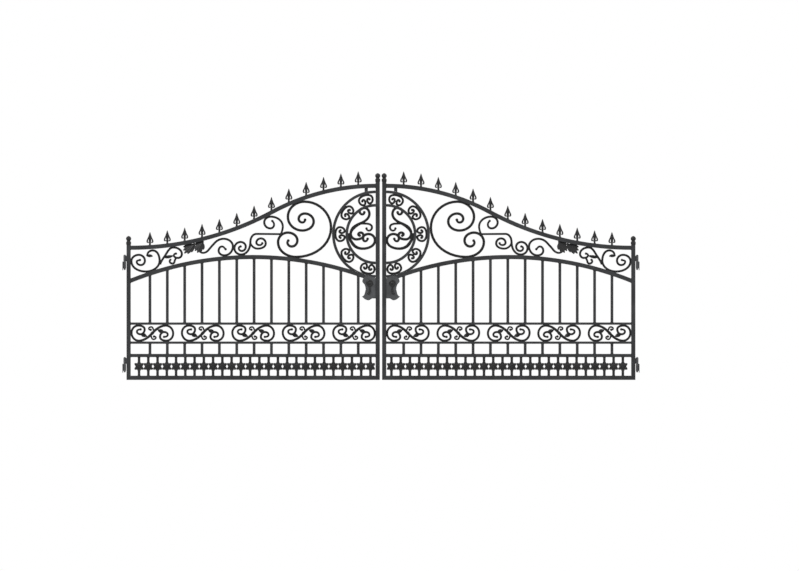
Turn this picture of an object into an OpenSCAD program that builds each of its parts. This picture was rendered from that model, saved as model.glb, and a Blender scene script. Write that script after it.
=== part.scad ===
// Wrought iron driveway gate: two leaves that meet in the middle, each hung on two weld-on hinges.
// Millimetres. X runs along the gate, Y is its depth (the leaves open towards +Y) and Z is up.
// The origin lies on the post face of the lower left hinge plate, in the leaves' middle plane.
// A leaf is drawn in its own frame: x from its hinge edge to its meeting edge, z from its foot.

/* [Leaf] */
// Width of one leaf, from hinge edge to meeting edge
leaf_w = 2700; // [2250:10:3240]
// Gap between the two leaves when they are shut
meeting_gap = 24; // [10:1:40]
// Height of the hinge stile, without its finial
hinge_stile_h = 1460; // [1400:5:1750]
// Height of the meeting stile, without its finial
meeting_stile_h = 2130; // [1900:5:2550]

/* [Frame members] */
// Width of the stiles and the bottom rail, seen from the front
frame_w = 45; // [35:1:60]
// Depth of the frame, front to back
frame_d = 45; // [35:1:60]
// Height of the two rails of the scroll band
band_rail_h = 25; // [18:1:30]
// Height of the rail over the rosettes
lower_rail_h = 35; // [25:1:40]
// Depth of the three middle rails
mid_rail_d = 36; // [24:1:45]

/* [Heights of the rails] */
// Drop from the hinge stile's top to the top rail's upper edge
low_end_drop = 29; // [20:1:60]
// Drop from the meeting stile's top to the top rail's upper edge
high_end_drop = 39; // [20:1:60]
// Radius of the top rail's hollow stretch, at its upper edge
hollow_r = 3150; // [2700:10:3600]
// Upper edge of the arch rail at its crown
arch_crown = 1332; // [1200:1:1350]
// How far the arch rail falls from its crown to the stiles
arch_fall = 250; // [200:1:300]
// Middle of the scroll band's upper rail
band_top_z = 600; // [560:5:640]
// Clear height between the scroll band's two rails
band_clear = 178; // [150:1:215]
// Middle of the rail over the rosettes
lower_rail_z = 260; // [220:1:312]

/* [Pickets and spearheads] */
// Number of pickets in a leaf
pickets = 13; // [9:1:15]
// Width and depth of a picket
picket_w = 30; // [20:1:36]
// First picket's middle, from the hinge edge
picket_first = 250; // [200:5:300]
// Last picket's middle, from the meeting edge
picket_last = 230; // [205:5:260]
// Height of a spearhead
spear_h = 140; // [100:1:160]
// Width of a spearhead across its barbs
spear_w = 76; // [50:1:90]
// Height of a stile's cap, under its ball
cap_h = 20; // [10:1:30]
// Radius of a stile's ball
ball_r = 28; // [20:1:32]

/* [Scrollwork] */
// Thickness of the large scroll bar, seen from the front
big_bar = 24; // [16:1:26]
// Thickness of the small scroll bars, seen from the front
small_bar = 20; // [12:1:22]
// Depth of the scroll bars
scroll_d = 22; // [14:1:30]
// Number of S scrolls in the band
band_scrolls = 5; // [4:1:5]
// Outer radius of the outer half ring
outer_ring_r = 465; // [388:1:480]
// Clear room between the two half rings
ring_gap = 113; // [90:1:130]
// Thickness of both half rings, seen from the front
ring_bar = 30; // [26:1:32]
// Depth of both half rings
ring_d = 30; // [20:1:40]
// Thickness of the outer ring's bar that is left where it is let in over the arch rail
ring_over = 7.4; // [5:0.1:15]

/* [Rosettes] */
// Number of rosettes in a leaf
rosettes = 26; // [20:1:28]
// Radius of a rosette, to its petals' tips
rosette_r = 56; // [54:1:60]
// Depth of the rosettes
rosette_d = 16; // [10:1:24]
// Width of the stems that hold the rosettes
rosette_stem = 28; // [16:1:34]
// Gap between the first rosette's petals and the hinge stile
rosette_gap_hinge = 39; // [20:1:50]
// Gap between the last rosette's petals and the meeting stile
rosette_gap_meet = 5; // [3:1:15]

/* [Hinges] */
// Gap between the leaf and the post that the hinges fill
hinge_gap = 44; // [42:1:60]
// Radius of the hinge pins
hinge_pin_r = 8; // [6:0.5:9]
// Radius of the hinge barrels
barrel_r = 14; // [13:0.5:15]
// Height of one half of a hinge barrel
barrel_h = 72; // [60:1:90]
// Thickness of the plate on the post
hinge_plate_t = 8; // [6:1:8]
// Parting of the lower hinge, above the leaf's foot
lower_hinge_z = 172; // [150:1:200]
// Parting of the upper hinge, above the leaf's foot
upper_hinge_z = 1263; // [1200:5:1330]

/* [Lock] */
// Distance of the handle's spindle from the meeting stile
spindle_back = 64; // [55:1:75]
// Drop from the arch rail's upper edge at the stile to the spindle
spindle_drop = 52; // [48:1:62]
// Radius of the spindle
spindle_r = 6; // [5:0.5:8]
// Radius of the handle's rose
rose_r = 36; // [30:1:40]
// Thickness of the ornamental lock plates
plate_t = 4; // [3:0.5:6]

/* [Hidden] */
$fn = 64;
iron = "#222326";

// Clearance where a curved piece is fitted against its neighbour
seat = 0.3;
// Running clearance of a pin in its hole
running = 0.1;
// Distance between a moving piece and what it passes
pass = 5;

inner_x = leaf_w - frame_w;
clear_w = leaf_w - 2 * frame_w;
opening_w = 2 * hinge_gap + 2 * leaf_w + meeting_gap;
plate_h = barrel_h + 20;
washer_h = 3;
mount_z = lower_hinge_z - washer_h - plate_h / 2;
barrel_x = -barrel_r - pass;
band_low_z = band_top_z - band_rail_h - band_clear;
top_rail_low = hinge_stile_h - low_end_drop;
top_rail_high = meeting_stile_h - high_end_drop;
inner_ring_r = outer_ring_r - ring_bar - ring_gap;
spindle_x = inner_x - spindle_back;
spindle_z = arch_crown - arch_fall - spindle_drop;
// Facets of the long arcs
arc_fn = 360;

// The arch rail is one arc; the top rail is a hollow arc that meets a crowned arc where both slope alike
function arc_r(span, fall) = (pow(span / 2, 2) + pow(fall, 2)) / (2 * fall);
function turn(span, rise) = 2 * atan(rise / span);
arch_r = arc_r(clear_w, arch_fall);
arch_c = [leaf_w / 2, arch_crown - arch_r];
ring_z = arch_c.y + sqrt(pow(arch_r + outer_ring_r - ring_bar + ring_over, 2)
    - pow(clear_w / 2, 2));
top_turn = turn(clear_w, top_rail_high - top_rail_low);
crown_r = clear_w / sin(top_turn) - hollow_r;
hollow_c = [frame_w, top_rail_low + hollow_r];
crown_c = [inner_x, top_rail_high - crown_r];

// Upper edge of a top rail, and of an arch rail, at a distance x from the hinge stile's inner face
function top_line(x, span, low, high, r) = let(a = turn(span, high - low), crown = span / sin(a) - r)
    x < r * sin(a) ? low + r - sqrt(r * r - x * x)
        : high - crown + sqrt(crown * crown - pow(span - x, 2));
function arch_line(x, span, top, fall) = let(r = arc_r(span, fall))
    top - r + sqrt(r * r - pow(x - span / 2, 2));
function top_edge(x) = top_line(x - frame_w, clear_w, top_rail_low, top_rail_high, hollow_r);
function arch_edge(x) = arch_line(x - frame_w, clear_w, arch_crown, arch_fall);
picket_xs = [for (i = [0:pickets - 1])
    picket_first + i * (leaf_w - picket_last - picket_first) / (pickets - 1)];

// A scroll's middle line is a list of [x, z, heading], and each stretch between two of them is the
// smooth curve that leaves and arrives on those headings, as near to a circle's arc as it can be.
function wrap(a) = a - 360 * floor((a + 180) / 360);
function ray(a, l) = l * [cos(a), sin(a)];
function reach(a, b) = (2 + sqrt(2) * (sin(a) - sin(b) / 16) * (sin(b) - sin(a) / 16)
    * (cos(a) - cos(b))) / (3 * (1 + (sqrt(5) - 1) / 2 * cos(a) + (3 - sqrt(5)) / 2 * cos(b)));
function stretch_at(p, h1, h2, q, t) = pow(1 - t, 3) * p + 3 * pow(1 - t, 2) * t * h1
    + 3 * (1 - t) * t * t * h2 + t * t * t * q;
function stretch(a, b) = let(p = [a.x, a.y], q = [b.x, b.y], chord = norm(q - p),
    way = atan2(q.y - p.y, q.x - p.x), out = wrap(a.z - way), home = wrap(way - b.z),
    steps = max(1, round((abs(out) + abs(home)) / 15)),
    h1 = p + ray(a.z, chord * reach(out, home)), h2 = q - ray(b.z, chord * reach(home, out)))
    [for (i = [0:steps - 1]) stretch_at(p, h1, h2, q, i / steps)];
function line(path) = [for (i = [0:len(path) - 2]) each stretch(path[i], path[i + 1]),
    [path[len(path) - 1].x, path[len(path) - 1].y]];
function side(p, i) = let(d = p[min(i + 1, len(p) - 1)] - p[max(i - 1, 0)])
    [-d.y, d.x] / norm(d);
function ribbon(p, w) = concat([for (i = [0:len(p) - 1]) p[i] + w / 2 * side(p, i)],
    [for (i = [len(p) - 1:-1:0]) p[i] - w / 2 * side(p, i)]);

// The scrolls between the top rail and the arch rail are drawn for the leaf that these values give.
// fitted() stretches them to the leaf's own width, and to the room between its own two rails, and
// turns each heading as the stretch turns a short step along it.
drawn_span = 2610;
drawn_frame = 45;
drawn_low = 1431;
drawn_high = 2091;
drawn_hollow = 3150;
drawn_crown = 1332;
drawn_fall = 250;
drawn_ring = 465;
function drawn_arch(x) = arch_line(x, drawn_span, drawn_crown, drawn_fall);
function drawn_top(x) = top_line(x, drawn_span, drawn_low, drawn_high, drawn_hollow) - drawn_frame;
function place(n) = let(far = n.x - drawn_frame,
    x = frame_w + far * (clear_w - outer_ring_r) / (drawn_span - drawn_ring),
    share = (n.y - drawn_arch(far)) / (drawn_top(far) - drawn_arch(far)))
    [x, arch_edge(x) + share * (top_edge(x) - frame_w - arch_edge(x))];
function fitted(path) = [for (n = path) let(step = place([n.x, n.y] + ray(n.z, 1)) - place(n))
    [each place(n), atan2(step.y, step.x)]];
function scaled(path, kx, kz) = [for (n = path) [n.x * kx, n.y * kz, n.z]];

// Middle lines of those scrolls, in the drawn leaf's frame
big_scroll_line = [[1903, 1706, 270], [1874, 1678, 180], [1835, 1717, 90], [1900, 1773, 0],
    [1995, 1688, 270], [1874, 1592, 180], [1720, 1738, 90], [1897, 1900, 0], [2180, 1622, 270],
    [1808, 1310, 180], [1615, 1468, 90], [1720, 1570, 0], [1821, 1486, 270], [1761, 1422, 180],
    [1715, 1465, 90], [1724, 1484, 60]];
hook_line = [[1554, 1694, 315], [1573, 1655, 270], [1533, 1615, 180], [1468, 1680, 90],
    [1539, 1740, 0], [1666, 1634, 270], [1628, 1518, 245]];
long_line = [[1645, 1554, 180], [1385, 1556, 180], [1320, 1468, 270], [1222, 1336, 180],
    [1150, 1403, 90], [1216, 1470, 0], [1271, 1420, 270], [1229, 1374, 180], [1197, 1403, 90],
    [1216, 1422, 0]];
branch_line = [[1322, 1455, 290], [1399, 1399, 0], [1484, 1455, 90], [1432, 1508, 180],
    [1384, 1463, 270], [1416, 1437, 0], [1447, 1456, 80]];
ess_line = [[1056, 1393, 135], [1018, 1422, 180], [982, 1377, 270], [1043, 1327, 0],
    [1134, 1423, 90], [1036, 1504, 180], [943, 1463, 228], [876, 1387, 232], [817, 1354, 180],
    [770, 1378, 130]];
end_line = [[143, 1278, 200], [109, 1259, 270], [153, 1224, 0], [196, 1271, 90],
    [131, 1333, 180], [52, 1265, 270], [205, 1155, 0], [353, 1271, 90], [279, 1380, 180],
    [223, 1338, 260]];
stem_line = [[358, 1230, 75], [408, 1320, 55], [500, 1412, 0], [590, 1342, 270],
    [550, 1300, 180], [505, 1325, 100], [527, 1346, 0]];
curl_line = [[530, 1306, 250], [512, 1262, 262], [490, 1240, 180], [460, 1262, 100],
    [468, 1280, 30]];
// Middle lines of the medallion, from the rings' centre, for an inner ring this wide inside
drawn_medallion = 292;
medal_line = [[-121, 232, 280], [-142, 210, 180], [-170, 244, 90], [-117, 278, 0],
    [-66, 216, 270], [-144, 123, 205], [-235, 67, 225], [-265, 6, 270], [-206, -56, 0],
    [-130, -12, 90], [-159, 16, 180], [-185, -3, 270], [-170, -16, 0]];
medal_low_line = [[-287, 11, 272], [-235, -114, 310], [-136, -155, 0], [-7, -66, 90],
    [-75, 1, 180], [-134, -43, 270], [-112, -76, 0], [-85, -51, 80]];
medal_side_line = [[-165, 110, 10], [-106, 112, 0], [-39, 73, 270], [-71, 37, 180],
    [-97, 60, 90]];
// One C scroll between the rings, standing on a circle through the middle of their gap, and the
// height of its middle line
drawn_cee = 98;
cee_half = [[40, -4, 90], [28, 8, 180], [12, -14, 270], [34, -48, 0], [74, 3, 90], [0, 50, 180]];
cee_angles = [106, 143, 180, 217, 257];
// Half of one S scroll of the band and one comma on its slope, about its middle, and the S scroll's
// reach and crest
drawn_reach = 222;
drawn_crest = 80.7;
ess_half = [[-125, 40, 180], [-164, 17, 270], [-126, -12, 0], [-82, 40, 90],
    [-150, drawn_crest, 180], [-drawn_reach, 4, 270], [-144, -drawn_crest, 0], [0, 0, 48]];
comma_line = [[20, 20, 125], [-14, 66, 185], [-38, 48, 270], [-18, 36, 10]];
ess_gap = 77;

module slab(depth) {
    rotate([90, 0, 0])
        linear_extrude(depth, center = true) children();
}

module bar(path, w, depth = scroll_d, bulb = 0) {
    points = line(path);
    slab(depth) polygon(ribbon(points, w));
    for (end = bulb > 0 ? [points[0], points[len(points) - 1]] : [])
        translate([end.x, 0, end.y]) rotate([90, 0, 0])
            cylinder(r = bulb, h = depth, center = true);
}

// An arc of a rail, drawn round c from angle a over sweep
module arc_bar(c, r_in, r_out, a, sweep, depth) {
    translate([c.x, 0, c.y]) rotate([90, 0, 0]) rotate([0, 0, a])
        rotate_extrude(angle = sweep, $fn = arc_fn)
            translate([r_in, -depth / 2]) square([r_out - r_in, depth]);
}

module between_stiles(grow) {
    translate([frame_w - grow, -frame_d, 0])
        cube([clear_w + 2 * grow, 2 * frame_d, 2 * meeting_stile_h]);
}

module arch_shape(grow = 0) {
    half = asin((clear_w / 2 + frame_w) / (arch_r - frame_w));
    intersection() {
        arc_bar(arch_c, arch_r - frame_w - grow, arch_r + grow, 90 - half, 2 * half,
            frame_d + 2 * grow);
        between_stiles(0);
    }
}

module top_shape(grow = 0) {
    more = 3;
    lap = 0.02;
    intersection() {
        union() {
            arc_bar(hollow_c, hollow_r - grow, hollow_r + frame_w + grow, 270 - more,
                top_turn + more + lap, frame_d + 2 * grow);
            arc_bar(crown_c, crown_r - frame_w - grow, crown_r + grow, 90 - more,
                top_turn + more, frame_d + 2 * grow);
        }
        between_stiles(0);
    }
}

module ring_shape(r, grow = 0) {
    arc_bar([inner_x, ring_z], r - ring_bar - grow, r + grow, 90, 180, ring_d + 2 * grow);
}

// Cuts a fitted scroll free of the stiles
module fit_between_stiles() {
    intersection() {
        children();
        between_stiles(-seat);
    }
}

module hinge_stile() {
    color(iron) slab(frame_d)
        polygon([[0, 0], [frame_w, frame_w], [frame_w, hinge_stile_h], [0, hinge_stile_h]]);
}

module meeting_stile() {
    color(iron) slab(frame_d)
        polygon([[leaf_w, 0], [leaf_w, meeting_stile_h], [inner_x, meeting_stile_h],
            [inner_x, frame_w]]);
}

module bottom_rail() {
    color(iron) slab(frame_d)
        polygon([[0, 0], [leaf_w, 0], [inner_x, frame_w], [frame_w, frame_w]]);
}

module top_rail() {
    color(iron) top_shape();
}

module arch_rail() {
    color(iron) arch_shape();
}

module level_rail(z, h) {
    translate([frame_w, -mid_rail_d / 2, z - h / 2]) cube([clear_w, mid_rail_d, h]);
}

module cross_rails() {
    color(iron) {
        level_rail(band_top_z, band_rail_h);
        level_rail(band_low_z, band_rail_h);
        level_rail(lower_rail_z, lower_rail_h);
    }
}

module picket_row(low, high) {
    for (x = picket_xs)
        translate([x - picket_w / 2, -picket_w / 2, low]) cube([picket_w, picket_w, high - low]);
}

// All that lies over the middle of the arch rail, which trims what ends under the rail
module over_arch() {
    translate([arch_c.x, 0, arch_c.y]) rotate([90, 0, 0]) difference() {
        cylinder(r = arch_r + 2 * arch_fall, h = 2 * frame_d, center = true, $fn = arc_fn);
        cylinder(r = arch_r - frame_w / 2, h = 3 * frame_d, center = true, $fn = arc_fn);
    }
}

// The tall pickets under the arch rail and the short ones between the band and the rosettes
module picket_rows() {
    color(iron) {
        picket_row(lower_rail_z + lower_rail_h / 2, band_low_z - band_rail_h / 2);
        difference() {
            picket_row(band_top_z + band_rail_h / 2, arch_crown);
            arch_shape(seat);
            over_arch();
        }
    }
}

// A pointed blade with two hanging barbs; its outline is given in shares of half its width and of
// its height, from the tip down one side
spear_side = [[0.2, 0.82], [0.42, 0.62], [0.62, 0.46], [1, 0.24], [0.9, 0.2], [0.35, 0.32]];

module spearhead() {
    left_side = [for (p = spear_side) [-p.x * spear_w / 2, p.y * spear_h]];
    right_side = [for (i = [len(left_side) - 1:-1:0]) [-left_side[i].x, left_side[i].y]];
    slab(picket_w / 2) polygon(concat([[0, spear_h]], left_side, right_side));
}

module spearheads() {
    stem = picket_w * 0.6;
    color(iron) difference() {
        for (x = picket_xs)
            translate([x, 0, top_edge(x)]) {
                spearhead();
                translate([-stem / 2, -stem / 2, -stem])
                    cube([stem, stem, stem + 0.4 * spear_h]);
            }
        top_shape(seat);
        rail_underside();
    }
}

// Everything under the middle of the top rail, which trims what stands on the rail
module rail_underside() {
    steps = 40;
    points = [for (i = [0:steps]) let(x = frame_w + i * clear_w / steps)
        [x, top_edge(x) - frame_w / 2]];
    slab(frame_d) polygon(concat(points, [[inner_x, top_rail_low - frame_w],
        [frame_w, top_rail_low - 2 * frame_w]]));
}

// A ball on a square cap whose skirt hangs over the stile's end
module finial(x, z) {
    wall = 4;
    skirt = 18;
    cap = frame_w + 2 * wall;
    translate([x, 0, z]) {
        difference() {
            translate([-cap / 2, -cap / 2, -skirt]) cube([cap, cap, skirt + cap_h]);
            translate([-frame_w / 2 - seat, -frame_d / 2 - seat, -2 * skirt])
                cube([frame_w + 2 * seat, frame_d + 2 * seat, 2 * skirt]);
        }
        translate([0, 0, cap_h + ball_r - 3]) sphere(r = ball_r);
    }
}

module finials() {
    color(iron) {
        finial(frame_w / 2, hinge_stile_h);
        finial(leaf_w - frame_w / 2, meeting_stile_h);
    }
}

// The outer half ring, and the block that ties its crown to the top rail
module outer_ring() {
    tie_x = inner_x - 100;
    tie_w = 36;
    crown_z = ring_z + outer_ring_r;
    color(iron) {
        difference() {
            fit_between_stiles() ring_shape(outer_ring_r);
            arch_shape(seat);
            top_shape(seat);
        }
        difference() {
            translate([tie_x - tie_w / 2, -scroll_d / 2, crown_z - ring_bar])
                cube([tie_w, scroll_d, top_rail_high - frame_w / 2 - crown_z + ring_bar]);
            ring_shape(outer_ring_r, seat);
            top_shape(seat);
        }
    }
}

module inner_ring() {
    color(iron) fit_between_stiles() ring_shape(inner_ring_r);
}

// The other half of a C scroll or of an S scroll, walked back from the end of the first
function mirrored(half) = [for (i = [len(half) - 2:-1:0]) [-half[i].x, half[i].y, 360 - half[i].z]];
function turned(half) = [for (i = [len(half) - 2:-1:0]) [-half[i].x, -half[i].y, half[i].z]];

module ring_scrolls() {
    middle_r = inner_ring_r + ring_gap / 2;
    k = (ring_gap + 1 - small_bar) / drawn_cee;
    half = scaled(cee_half, k, k);
    color(iron) fit_between_stiles() difference() {
        for (a = cee_angles)
            translate([inner_x, 0, ring_z]) rotate([0, 90 - a, 0]) translate([0, 0, middle_r])
                bar(concat(half, mirrored(half)), small_bar, bulb = small_bar / 2 + 2);
        ring_shape(outer_ring_r, seat);
        ring_shape(inner_ring_r, seat);
    }
}

module medallion_scroll() {
    k = (inner_ring_r - ring_bar) / drawn_medallion;
    color(iron) fit_between_stiles() difference() {
        translate([inner_x, 0, ring_z]) {
            bar(scaled(medal_line, k, k), big_bar, bulb = big_bar / 2 + 2);
            bar(scaled(medal_low_line, k, k), big_bar);
            bar(scaled(medal_side_line, k, k), small_bar);
        }
        ring_shape(inner_ring_r, seat);
    }
}

module big_shape(grow = 0) {
    bar(fitted(big_scroll_line), big_bar + 2 * grow, scroll_d + 2 * grow);
}

module big_scroll() {
    color(iron) difference() {
        big_shape();
        ring_shape(outer_ring_r, seat);
        arch_shape(seat);
        top_shape(seat);
    }
}

module middle_scrolls() {
    color(iron) difference() {
        union() {
            for (path = [hook_line, long_line, branch_line, ess_line])
                bar(fitted(path), small_bar);
        }
        big_shape(seat);
        arch_shape(seat);
        top_shape(seat);
    }
}

module end_scrolls() {
    color(iron) fit_between_stiles() difference() {
        union() {
            for (path = [end_line, stem_line, curl_line])
                bar(fitted(path), small_bar);
        }
        arch_shape(seat);
        top_shape(seat);
    }
}

// Outlines of the two leaves that hang from the top rail, in the drawn leaf's frame
leaf_outlines = [[[596, 1352], [600, 1385], [628, 1428], [700, 1450], [718, 1400], [704, 1356],
    [672, 1338], [634, 1342]], [[705, 1410], [712, 1440], [760, 1465], [826, 1492], [834, 1440],
    [826, 1390], [800, 1372], [768, 1384]]];

module acanthus_leaves() {
    color(iron) difference() {
        slab(scroll_d) for (outline = leaf_outlines)
            polygon([for (p = outline) place(p)]);
        for (path = [stem_line, ess_line])
            bar(fitted(path), small_bar + 2 * seat, scroll_d + 2);
        top_shape(seat);
    }
}

module band_scroll_row() {
    crest = (band_clear - small_bar) / 2 - seat;
    reach = ((clear_w - 2 * seat + ess_gap) / band_scrolls - ess_gap - small_bar) / 2;
    kx = reach / drawn_reach;
    kz = crest / drawn_crest;
    half = scaled(ess_half, kx, kz);
    first = frame_w + seat + small_bar / 2 + reach;
    color(iron) for (i = [0:band_scrolls - 1])
        translate([first + i * (leaf_w - 2 * first) / (band_scrolls - 1), 0,
            band_low_z + (band_rail_h + band_clear) / 2]) {
            bar(concat(half, turned(half)), small_bar);
            for (way = [0, 180]) rotate([0, way, 0])
                bar(scaled(comma_line, kx, kz), small_bar * 0.8);
        }
}

// Six round petals about a boss, with the deepest notches at the flower's two sides
function notch(a) = 0.86 - 0.26 * pow(cos(a), 4);
function flower(r, n = 48) = [for (i = [0:n - 1]) let(a = 360 * i / n)
    (notch(a) + (1 - notch(a)) * pow(abs(cos(3 * (a - 30))), 1.6)) * r * [cos(a), sin(a)]];

module rosette_row() {
    foot = frame_w;
    head = lower_rail_z - lower_rail_h / 2;
    reach = max([for (p = flower(rosette_r)) p.x]);
    first = frame_w + rosette_gap_hinge + reach;
    last = inner_x - rosette_gap_meet - reach;
    color(iron) for (i = [0:rosettes - 1])
        translate([first + i * (last - first) / (rosettes - 1), 0, 0]) {
            translate([0, 0, (foot + head) / 2]) slab(rosette_d) polygon(flower(rosette_r));
            for (z = [foot, head - (head - foot) / 4])
                translate([-rosette_stem / 2, -rosette_d / 2, z])
                    cube([rosette_stem, rosette_d, (head - foot) / 4]);
        }
}

// A hinge's leaf half: a barrel with a domed top and a blind bore, and the web that joins the stile
module leaf_barrel(z) {
    bore_h = barrel_h - barrel_r;
    dome = [for (a = [0:15:90]) [barrel_r * cos(a), barrel_h - barrel_r + barrel_r * sin(a)]];
    translate([barrel_x, 0, z + seat]) difference() {
        union() {
            rotate_extrude() polygon(concat([[0, 0], [barrel_r, 0]], dome));
            translate([0, -barrel_r / 2, 2]) cube([-barrel_x, barrel_r, bore_h - 2]);
        }
        translate([0, 0, -1]) cylinder(r = hinge_pin_r + running, h = bore_h + 1);
    }
}

module hinge_barrels() {
    color(iron) {
        leaf_barrel(lower_hinge_z);
        leaf_barrel(upper_hinge_z);
    }
}

// A hinge's post half: the plate whose outer face lies on the post, the lower barrel and its pin
module post_half(z) {
    plate_w = 30;
    pin_up = barrel_h - barrel_r - 2;
    nut_r = hinge_pin_r + 3;
    translate([0, 0, z - washer_h]) {
        translate([-hinge_gap, -plate_w / 2, -plate_h])
            cube([hinge_plate_t, plate_w, plate_h]);
        translate([-hinge_gap, -barrel_r / 2, -barrel_h])
            cube([hinge_gap + barrel_x, barrel_r, barrel_h]);
        translate([barrel_x, 0, -barrel_h]) cylinder(r = barrel_r, h = barrel_h);
        translate([barrel_x, 0, 0]) cylinder(r = nut_r, h = washer_h);
        translate([barrel_x, 0, 0]) cylinder(r = hinge_pin_r, h = washer_h + pin_up);
        translate([barrel_x, 0, -barrel_h - 12]) cylinder(r = nut_r, h = 12);
    }
}

module post_hinges() {
    color(iron) {
        post_half(lower_hinge_z);
        post_half(upper_hinge_z);
    }
}

module spindle_hole() {
    translate([spindle_x, 0, spindle_z]) rotate([90, 0, 0])
        cylinder(r = spindle_r + running, h = 4 * frame_d, center = true);
}

module lock_case() {
    case_w = 92;
    case_low = spindle_z - 130;
    color(iron) difference() {
        translate([inner_x - case_w, -frame_d / 2, case_low])
            cube([case_w, frame_d, spindle_z + 2 * rose_r - case_low]);
        arch_shape(seat);
        over_arch();
        spindle_hole();
    }
}

// The plates' outline, left edge from the foot to the point and from the point to the top
plate_foot = [[0, -162, 180], [-36, -162, 190], [-75, -182, 180], [-122, -164, 140],
    [-152, -142, 180]];
plate_side = [[-152, -142, 0], [-118, -114, 70], [-106, -66, 90], [-118, -14, 115],
    [-142, 20, 90], [-94, 78, 20], [0, 54, 340]];

module lock_plates() {
    outline = concat(line(plate_foot), line(plate_side));
    color(iron) for (s = [-1, 1]) difference() {
        translate([inner_x, s * (frame_d + plate_t) / 2, spindle_z])
            slab(plate_t) polygon(outline);
        spindle_hole();
    }
}

tail_line = [[-5, -30, 290], [3, -68, 270], [0, -90, 260], [-12, -109, 220]];

module handle() {
    rose_t = 12;
    off = frame_d / 2 + plate_t + pass;
    color(iron) translate([spindle_x, 0, spindle_z]) {
        rotate([90, 0, 0])
            cylinder(r = spindle_r, h = 2 * (off + rose_t), center = true);
        for (s = [-1, 1]) translate([0, s * (off + rose_t / 2), 0]) {
            rotate([90, 0, 0]) cylinder(r = rose_r, h = rose_t, center = true);
            bar(tail_line, 14, rose_t, 9);
        }
    }
}

module left() {
    translate([hinge_gap, 0, -mount_z]) children();
}

module right() {
    translate([opening_w, 0, 0]) mirror([1, 0, 0]) left() children();
}

left() hinge_stile();  // left_hinge_stile
left() meeting_stile();  // left_meeting_stile
left() bottom_rail();  // left_bottom_rail
left() top_rail();  // left_top_rail
left() arch_rail();  // left_arch_rail
left() cross_rails();  // left_cross_rails
left() picket_rows();  // left_pickets
left() spearheads();  // left_spearheads
left() finials();  // left_finials
left() outer_ring();  // left_outer_ring
left() inner_ring();  // left_inner_ring
left() ring_scrolls();  // left_ring_scrolls
left() medallion_scroll();  // left_medallion_scroll
left() big_scroll();  // left_big_scroll
left() middle_scrolls();  // left_middle_scrolls
left() end_scrolls();  // left_end_scrolls
left() acanthus_leaves();  // left_acanthus_leaves
left() band_scroll_row();  // left_band_scrolls
left() rosette_row();  // left_rosettes
left() hinge_barrels();  // left_hinge_barrels
left() lock_case();  // left_lock_case
left() lock_plates();  // left_lock_plates
left() handle();  // left_handle
right() hinge_stile();  // right_hinge_stile
right() meeting_stile();  // right_meeting_stile
right() bottom_rail();  // right_bottom_rail
right() top_rail();  // right_top_rail
right() arch_rail();  // right_arch_rail
right() cross_rails();  // right_cross_rails
right() picket_rows();  // right_pickets
right() spearheads();  // right_spearheads
right() finials();  // right_finials
right() outer_ring();  // right_outer_ring
right() inner_ring();  // right_inner_ring
right() ring_scrolls();  // right_ring_scrolls
right() medallion_scroll();  // right_medallion_scroll
right() big_scroll();  // right_big_scroll
right() middle_scrolls();  // right_middle_scrolls
right() end_scrolls();  // right_end_scrolls
right() acanthus_leaves();  // right_acanthus_leaves
right() band_scroll_row();  // right_band_scrolls
right() rosette_row();  // right_rosettes
right() hinge_barrels();  // right_hinge_barrels
right() lock_case();  // right_lock_case
right() lock_plates();  // right_lock_plates
right() handle();  // right_handle
left() post_hinges();  // left_post_hinges
right() post_hinges();  // right_post_hinges
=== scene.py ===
import math

import bpy
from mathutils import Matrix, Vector
from mathutils.bvhtree import BVHTree


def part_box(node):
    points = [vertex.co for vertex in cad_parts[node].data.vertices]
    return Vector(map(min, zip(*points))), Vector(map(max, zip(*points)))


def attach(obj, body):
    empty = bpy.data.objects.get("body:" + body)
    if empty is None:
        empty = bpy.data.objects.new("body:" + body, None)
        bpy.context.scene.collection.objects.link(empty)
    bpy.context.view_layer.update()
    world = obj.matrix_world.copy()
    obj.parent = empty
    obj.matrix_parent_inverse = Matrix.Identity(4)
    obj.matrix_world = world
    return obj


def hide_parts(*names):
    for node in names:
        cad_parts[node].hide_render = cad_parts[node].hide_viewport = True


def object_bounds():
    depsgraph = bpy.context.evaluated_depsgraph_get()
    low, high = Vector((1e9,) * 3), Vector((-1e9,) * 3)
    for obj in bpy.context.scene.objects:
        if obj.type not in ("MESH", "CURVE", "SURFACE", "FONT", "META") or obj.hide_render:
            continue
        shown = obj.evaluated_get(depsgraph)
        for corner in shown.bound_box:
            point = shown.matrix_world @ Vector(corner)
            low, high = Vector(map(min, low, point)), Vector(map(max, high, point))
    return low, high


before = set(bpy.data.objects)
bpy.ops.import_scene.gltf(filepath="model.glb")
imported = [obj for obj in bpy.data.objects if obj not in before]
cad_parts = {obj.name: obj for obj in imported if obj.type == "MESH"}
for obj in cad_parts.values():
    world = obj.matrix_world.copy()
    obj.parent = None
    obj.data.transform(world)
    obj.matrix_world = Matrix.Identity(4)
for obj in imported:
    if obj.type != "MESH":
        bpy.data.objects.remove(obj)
cad_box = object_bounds()

# The gate is drawn square from the front, with no perspective, on plain white paper. The camera
# stands there too, and looks along +Y at the middle of the sheet.
sheet_w_px = 799
sheet_middle_px = Vector((399.5, 285.5))
gate_middle_px = 380.95
gate_foot_px = 379.9
metres_per_px = 0.0106585
camera_distance = 14.0

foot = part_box("left_hinge_stile")[0]
gate_w = cad_box[1].x
middle_x = gate_w / 2

bpy.ops.object.camera_add(
    location=(
        middle_x + (sheet_middle_px.x - gate_middle_px) * metres_per_px,
        -camera_distance,
        foot.z + (gate_foot_px - sheet_middle_px.y) * metres_per_px,
    ),
    rotation=(math.radians(90), 0, 0),
)
camera = bpy.context.object
camera.data.type = "ORTHO"
camera.data.ortho_scale = sheet_w_px * metres_per_px
camera.data.clip_end = 200
bpy.context.scene.camera = camera


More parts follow.
